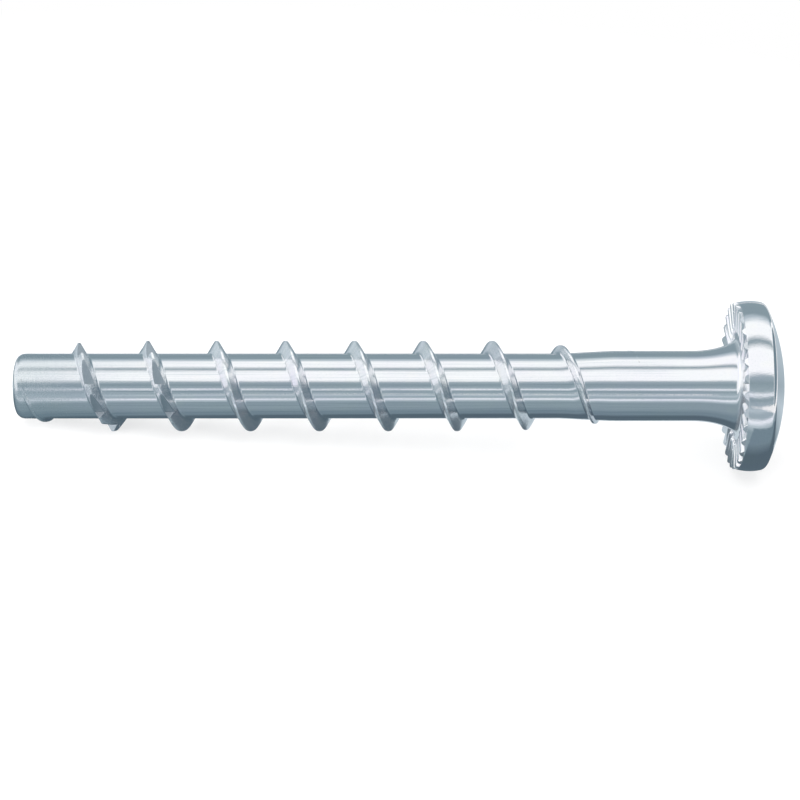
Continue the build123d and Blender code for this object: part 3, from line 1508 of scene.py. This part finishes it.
@dataclass(frozen=True)
class PaintedReflectionCard:
    """A glowing level card just above the floor, seen only in reflections: a painted reflection, whose dark
    shades are painted shade under the screw. Its edges and height are in metres, and its shades go by angle.
    """

    name: str
    left: float
    right: float
    near: float
    far: float
    height: float
    shades: tuple

    def corners(self) -> list[Vector]:
        """Its corners, from near to far."""
        return [Vector((x, y, self.height)) for y in (self.near, self.far) for x in (self.left, self.right)]


@dataclass
class PaintedReflectionTent:
    """Glowing white and grey sheets round the screw, seen only in its reflections: painted reflections and,
    in their dark shades, painted shade, not lamps.

    Shades go with an angle about the screw's axis, which starts at the camera's side and rises over the
    screw, or, on the two glowing end sheets, with the distance from the axis in metres.
    """

    placement: Placement
    middle: Vector
    radius: float = 0.32
    half_length: float = 0.30
    arch_steps: int = 72
    end_radius: float = 0.34
    end_step: int = 10
    # Painted reflections by angle: the white bands are painted highlights in place of soft lamps, the deep
    # and dusk bands below the axis are painted shade of the floor under the screw.
    cloth: tuple = (
        (-180, Shade.STEEL), (-168, Shade.SILVER), (-150, Shade.STEEL), (-125, Shade.DEEP),
        (-98, Shade.DEEP), (-90, Shade.DUSK), (-82, Shade.DUSK), (-69, Shade.SLATE), (-52, Shade.SLATE),
        (-47, Shade.SILVER), (-43, Shade.PALE), (-40, Shade.STEEL), (-36, Shade.STEEL), (-32, Shade.SILVER),
        (-28, Shade.STEEL), (-24, Shade.STEEL), (-19, Shade.SLATE), (-16, Shade.STEEL), (-12, Shade.PALE),
        (-8, Shade.STEEL), (3, Shade.SLATE), (13, Shade.STEEL), (19, Shade.WHITE), (51, Shade.WHITE),
        (62, Shade.SLATE), (72, Shade.WHITE), (93, Shade.WHITE), (105, Shade.SILVER), (114, Shade.SLATE),
        (150, Shade.SLATE), (162, Shade.SILVER), (180, Shade.STEEL),
    )
    # Painted reflection on the tip's end sheet: white and pale rings that brighten the flanks facing the tip.
    tip_end: tuple = (
        (0.0, Shade.WHITE), (0.18, Shade.WHITE), (0.21, Shade.PALE), (0.26, Shade.PALE), (0.28, Shade.WHITE),
    )
    # Painted reflection on the head's end sheet: a dusk disc as painted shade, ringed with white.
    head_end: tuple = ((0.0, Shade.DUSK), (0.255, Shade.DUSK), (0.27, Shade.WHITE))
    # Painted reflection on the card behind the screw: silver, with a dusk band as painted shade.
    behind: tuple = (
        (-180, Shade.SILVER), (159, Shade.SILVER), (161, Shade.DUSK), (169, Shade.DUSK), (171, Shade.SILVER),
    )
    # Painted shade under the head: deep and dusk shades that the head's underside reflects.
    painted_shade_under_head: tuple = ((-82, Shade.DEEP), (-72, Shade.DEEP), (-62, Shade.DUSK), (-48, Shade.DUSK))
    angle_ends: tuple = (-180.0, 180.0)
    distance_ends: tuple = (0.0, 0.5)

    def build(self) -> None:
        """Hang the glowing sheets and lay the cards: painted reflections, with painted shade under the screw.
        """
        self._hang_arch()
        self._hang_end("tip_end_painted_reflection", -self.placement.along, self.tip_end)
        self._hang_end("head_end_painted_reflection", self.placement.along, self.head_end)
        reach = self.radius
        # Level cards over the floor: painted reflections, dark where they stand for the floor's shade under
        # the screw and the head.
        cards = (
            PaintedReflectionCard("floor_painted_shade_card", left=-reach, right=0.07, near=-reach, far=reach, height=0.00002,
                 shades=self.cloth),
            PaintedReflectionCard("back_painted_reflection_card", left=-0.12, right=0.0352, near=0.0014, far=0.045, height=0.00004,
                 shades=self.behind),
            PaintedReflectionCard("head_painted_shade_card", left=0.028, right=0.05, near=-0.0185, far=0.0018, height=0.00004,
                 shades=self.painted_shade_under_head),
        )
        for card in cards:
            self._hang(card.name, card.corners(), self._by_angle(card.name, card.shades))

    def _hang_arch(self) -> None:
        """Hang the half round glowing tent of painted reflections, whose edges meet the floor."""
        floor_tilt = degrees(asin(self.placement.facing(90).z))
        sideways = self.placement.along * self.half_length
        corners = []
        for step in range(self.arch_steps + 1):
            angle = 180 * step / self.arch_steps - floor_tilt
            edge = self.middle + self.placement.around(angle) * self.radius
            corners += [edge - sideways, edge + sideways]
        self._hang("tent", corners, self._by_angle("tent_painted_reflection", self.cloth))

    def _hang_end(self, name: str, toward: Vector, shades: tuple) -> None:
        """Hang a round glowing sheet of painted reflection that closes one end of the tent.

        Args:
            name: the cloth's name.
            toward: unit vector towards that end.
            shades: its shades by distance from the axis.
        """
        centre = self.middle + toward * self.half_length
        corners = []
        for angle in range(0, 361, self.end_step):
            corners += [centre, centre + self.placement.around(angle) * self.end_radius]
        self._hang(name, corners, self._painted_reflection_material(name, shades, self._distance, self.distance_ends))

    def _hang(self, name: str, corners: list[Vector], material: bpy.types.Material) -> None:
        """Make a glowing sheet or card, which only reflections see: a painted reflection.

        Args:
            name: its name.
            corners: pairs of corners along it.
            material: its material.
        """
        made = Studio.surface(name, corners, material)
        made.visible_camera = False
        made.visible_diffuse = False
        made.visible_shadow = False
        made.visible_transmission = False
        made.visible_volume_scatter = False

    def _by_angle(self, name: str, shades: tuple) -> bpy.types.Material:
        """A painted reflection whose shades follow the angle about the axis."""
        return self._painted_reflection_material(name, shades, self._angle, self.angle_ends)

    def _angle(self, make: NodeMaker, place: Value) -> Value:
        """Measure the angle about the axis.

        Args:
            make: the maker of the material's nodes.
            place: the place from the tip.

        Returns:
            The angle in degrees.
        """
        across = make.vector_math("DOT_PRODUCT", "Value", place, self.placement.facing(90))
        upward = make.vector_math("DOT_PRODUCT", "Value", place, self.placement.facing(0))
        return make.math("DEGREES", make.math("ARCTAN2", upward, across))

    def _distance(self, make: NodeMaker, place: Value) -> Value:
        """Distance from the axis, in metres."""
        outward = make.vector_math("CROSS_PRODUCT", "Vector", place, self.placement.along)
        return make.vector_math("LENGTH", "Value", outward)

    def _painted_reflection_material(
        self, name: str, shades: tuple, measure: Callable[[NodeMaker, Value], Value], ends: tuple
    ) -> bpy.types.Material:
        """A painted reflection, glowing in shades which follow a measure.

        Args:
            name: the material's name.
            shades: pairs of a measured value and a shade.
            measure: gives the value at a place, from the node maker and the place from the tip.
            ends: the values at the two ends of the colour ramp.

        Returns:
            The material.
        """
        low, high = ends
        made = bpy.data.materials.new(name)
        make = NodeMaker.dressing(made)
        place = make.add("ShaderNodeTexCoord").outputs["Object"]
        from_tip = make.vector_math("SUBTRACT", "Vector", place, self.placement.tip)
        share = (measure(make, from_tip) - low) / (high - low)
        stops = [((value - low) / (high - low), (*shade.value, 1.0)) for value, shade in shades]
        ramp = make.add("ShaderNodeValToRGB", {"stops": stops}, fac=share)
        shine = make.add("ShaderNodeEmission", color=ramp.outputs["Color"])
        make.add("ShaderNodeOutputMaterial", surface=shine.outputs[0])
        return made


@dataclass
class Studio:
    """The floor, the light and the camera. Columns and rows are pixels of the picture."""

    placement: Placement
    camera_distance: float = 0.172
    camera_column: float = 420.0
    pixel: float = 0.000084
    image_size: int = 800
    tip_column: float = 17.4
    axis_row: float = 386.0
    sensor: float = 36.0
    clip_start: float = 0.005
    floor_reach: float = 4.0
    floor_colour: tuple = (0.9, 0.9, 0.9, 1.0)
    floor_whiteness: float = 0.72
    white_from: float = 0.05
    white_over: float = 0.07
    white: tuple = (1.0, 1.0, 1.0, 1.0)
    room_light: tuple = (0.28, 0.28, 0.28, 1.0)
    lamp_size: tuple = (0.5, 0.25)
    lamp_distance: float = 0.33
    key_angle: float = 37.0
    top_angle: float = 96.0
    power: float = 1.2
    tip_power: float = 8.0
    tip_lamp_front: float = 0.35
    tip_lamp_drop: float = 0.1

    @property
    def middle(self) -> Vector:
        """The point of the axis in the middle column of the picture."""
        return self._on_axis(self.image_size / 2)

    def build(self) -> None:
        """Set up everything round the screw."""
        self._camera()
        self._floor()
        self._world()
        # Painted reflections and painted shade: glowing sheets and cards that only the metal's reflections
        # see.
        PaintedReflectionTent(self.placement, self.middle).build()
        self._lamps()
        bpy.context.scene.view_settings.view_transform = "Standard"

    @staticmethod
    def surface(name: str, corners: list[Vector], material: bpy.types.Material) -> bpy.types.Object:
        """A staging surface made of a row of four-cornered faces.

        Args:
            name: the object's name.
            corners: pairs of corners, from one end of the row to the other.
            material: its material.

        Returns:
            The object, linked to the scene.
        """
        faces = [(n, n + 1, n + 3, n + 2) for n in range(0, len(corners) - 2, 2)]
        made = MeshTools.placed(name, MeshTools.mesh(name, corners, faces))
        made.data.materials.append(material)
        return made

    def _on_axis(self, column: float) -> Vector:
        """The point of the axis that is seen in this column of the picture."""
        return self.placement.tip + self.placement.along * (column - self.tip_column) * self.pixel

    def _camera(self) -> None:
        """Put the camera side-on to the screw and nearer to its head, as in the photograph."""
        toward_camera = self.placement.facing(90)
        data = bpy.data.cameras.new("camera")
        data.sensor_width = self.sensor
        data.lens = self.sensor * self.camera_distance / (self.image_size * self.pixel)
        data.shift_x = 0.5 - self.camera_column / self.image_size
        data.shift_y = self.axis_row / self.image_size - 0.5
        data.clip_start = self.clip_start
        camera = MeshTools.placed("camera", data)
        place = self._on_axis(self.camera_column) + toward_camera * self.camera_distance
        camera.matrix_world = standing(place, self.placement.along, self.placement.facing(0), toward_camera)
        bpy.context.scene.camera = camera

    @staticmethod
    def _seen(make: NodeMaker) -> Value:
        """Tell the rays that look from the camera, off metal or through glass from the rest.

        Args:
            make: the maker of the material's nodes.

        Returns:
            1 for those rays and 0 for the rest.
        """
        path = make.add("ShaderNodeLightPath")
        looks = [Value(make, path.outputs[f"Is {kind} Ray"]) for kind in ("Camera", "Glossy", "Transmission")]
        return (looks[0] + looks[1] + looks[2]).clamp()

    def _floor(self) -> None:
        """Lay the pale floor, which the camera and the metal see white, with the screw's shadow on it."""
        made = bpy.data.materials.new("floor")
        make = NodeMaker.dressing(made)
        matt = make.add("ShaderNodeBsdfDiffuse", color=self.floor_colour)
        white = make.add("ShaderNodeEmission", color=self.white)
        place = make.add("ShaderNodeTexCoord").outputs["Object"]
        away = make.vector_math("DISTANCE", "Value", place, self.middle)
        far = away.rise(self.white_from, self.white_over)
        share = self._seen(make) * (self.floor_whiteness + (1 - self.floor_whiteness) * far)
        mixed = make.add("ShaderNodeMixShader", fac=share, i1=matt.outputs[0], i2=white.outputs[0])
        make.add("ShaderNodeOutputMaterial", surface=mixed.outputs[0])
        reach = self.floor_reach
        self.surface("floor", [Vector((x, y, 0.0)) for y in (-reach, reach) for x in (-reach, reach)], made)

    def _world(self) -> None:
        """Make the background white, and dim where it lights matt surfaces."""
        world = bpy.data.worlds.new("studio")
        make = NodeMaker.dressing(world)
        dim = make.add("ShaderNodeBackground", color=self.room_light)
        white = make.add("ShaderNodeBackground", color=self.white)
        share = self._seen(make)
        mixed = make.add("ShaderNodeMixShader", fac=share, i1=dim.outputs[0], i2=white.outputs[0])
        make.add("ShaderNodeOutputWorld", surface=mixed.outputs[0])
        bpy.context.scene.world = world

    def _lamps(self) -> None:
        """Hang the soft lamps that light the floor and draw the shadow. Reflections don't show them."""
        place = self.placement
        past_tip = place.around(0) * self.tip_lamp_front - place.around(90) * self.tip_lamp_drop - place.along
        lamps = (
            ("key_lamp", place.around(self.key_angle), self.power),
            ("top_lamp", place.around(self.top_angle), self.power),
            ("tip_lamp", past_tip.normalized(), self.tip_power),
        )
        for name, toward, power in lamps:
            data = bpy.data.lights.new(name, "AREA")
            data.shape = "RECTANGLE"
            data.size, data.size_y = self.lamp_size
            data.energy = power
            lamp = MeshTools.placed(name, data)
            turned = toward.to_track_quat("Z", "Y").to_matrix().to_4x4()
            lamp.matrix_world = Matrix.Translation(self.middle + toward * self.lamp_distance) @ turned
            lamp.visible_glossy = False


def main() -> None:
    """Build the screw and its studio, hide the imported part that the screw stands for, and log face counts.
    """
    logging.basicConfig(level=logging.INFO, format="%(message)s")
    sizes = ScrewSizes()
    placement = Placement.from_record(frame["record"], sizes)
    finish = ZincFinish(placement, sizes)
    screw = Screw(sizes, placement, finish).build()
    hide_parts(NODE)
    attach(screw, BODY)
    log.info("%s: %d faces", screw.name, len(screw.data.polygons))
    Studio(placement).build()


if __name__ == "__main__":
    main()
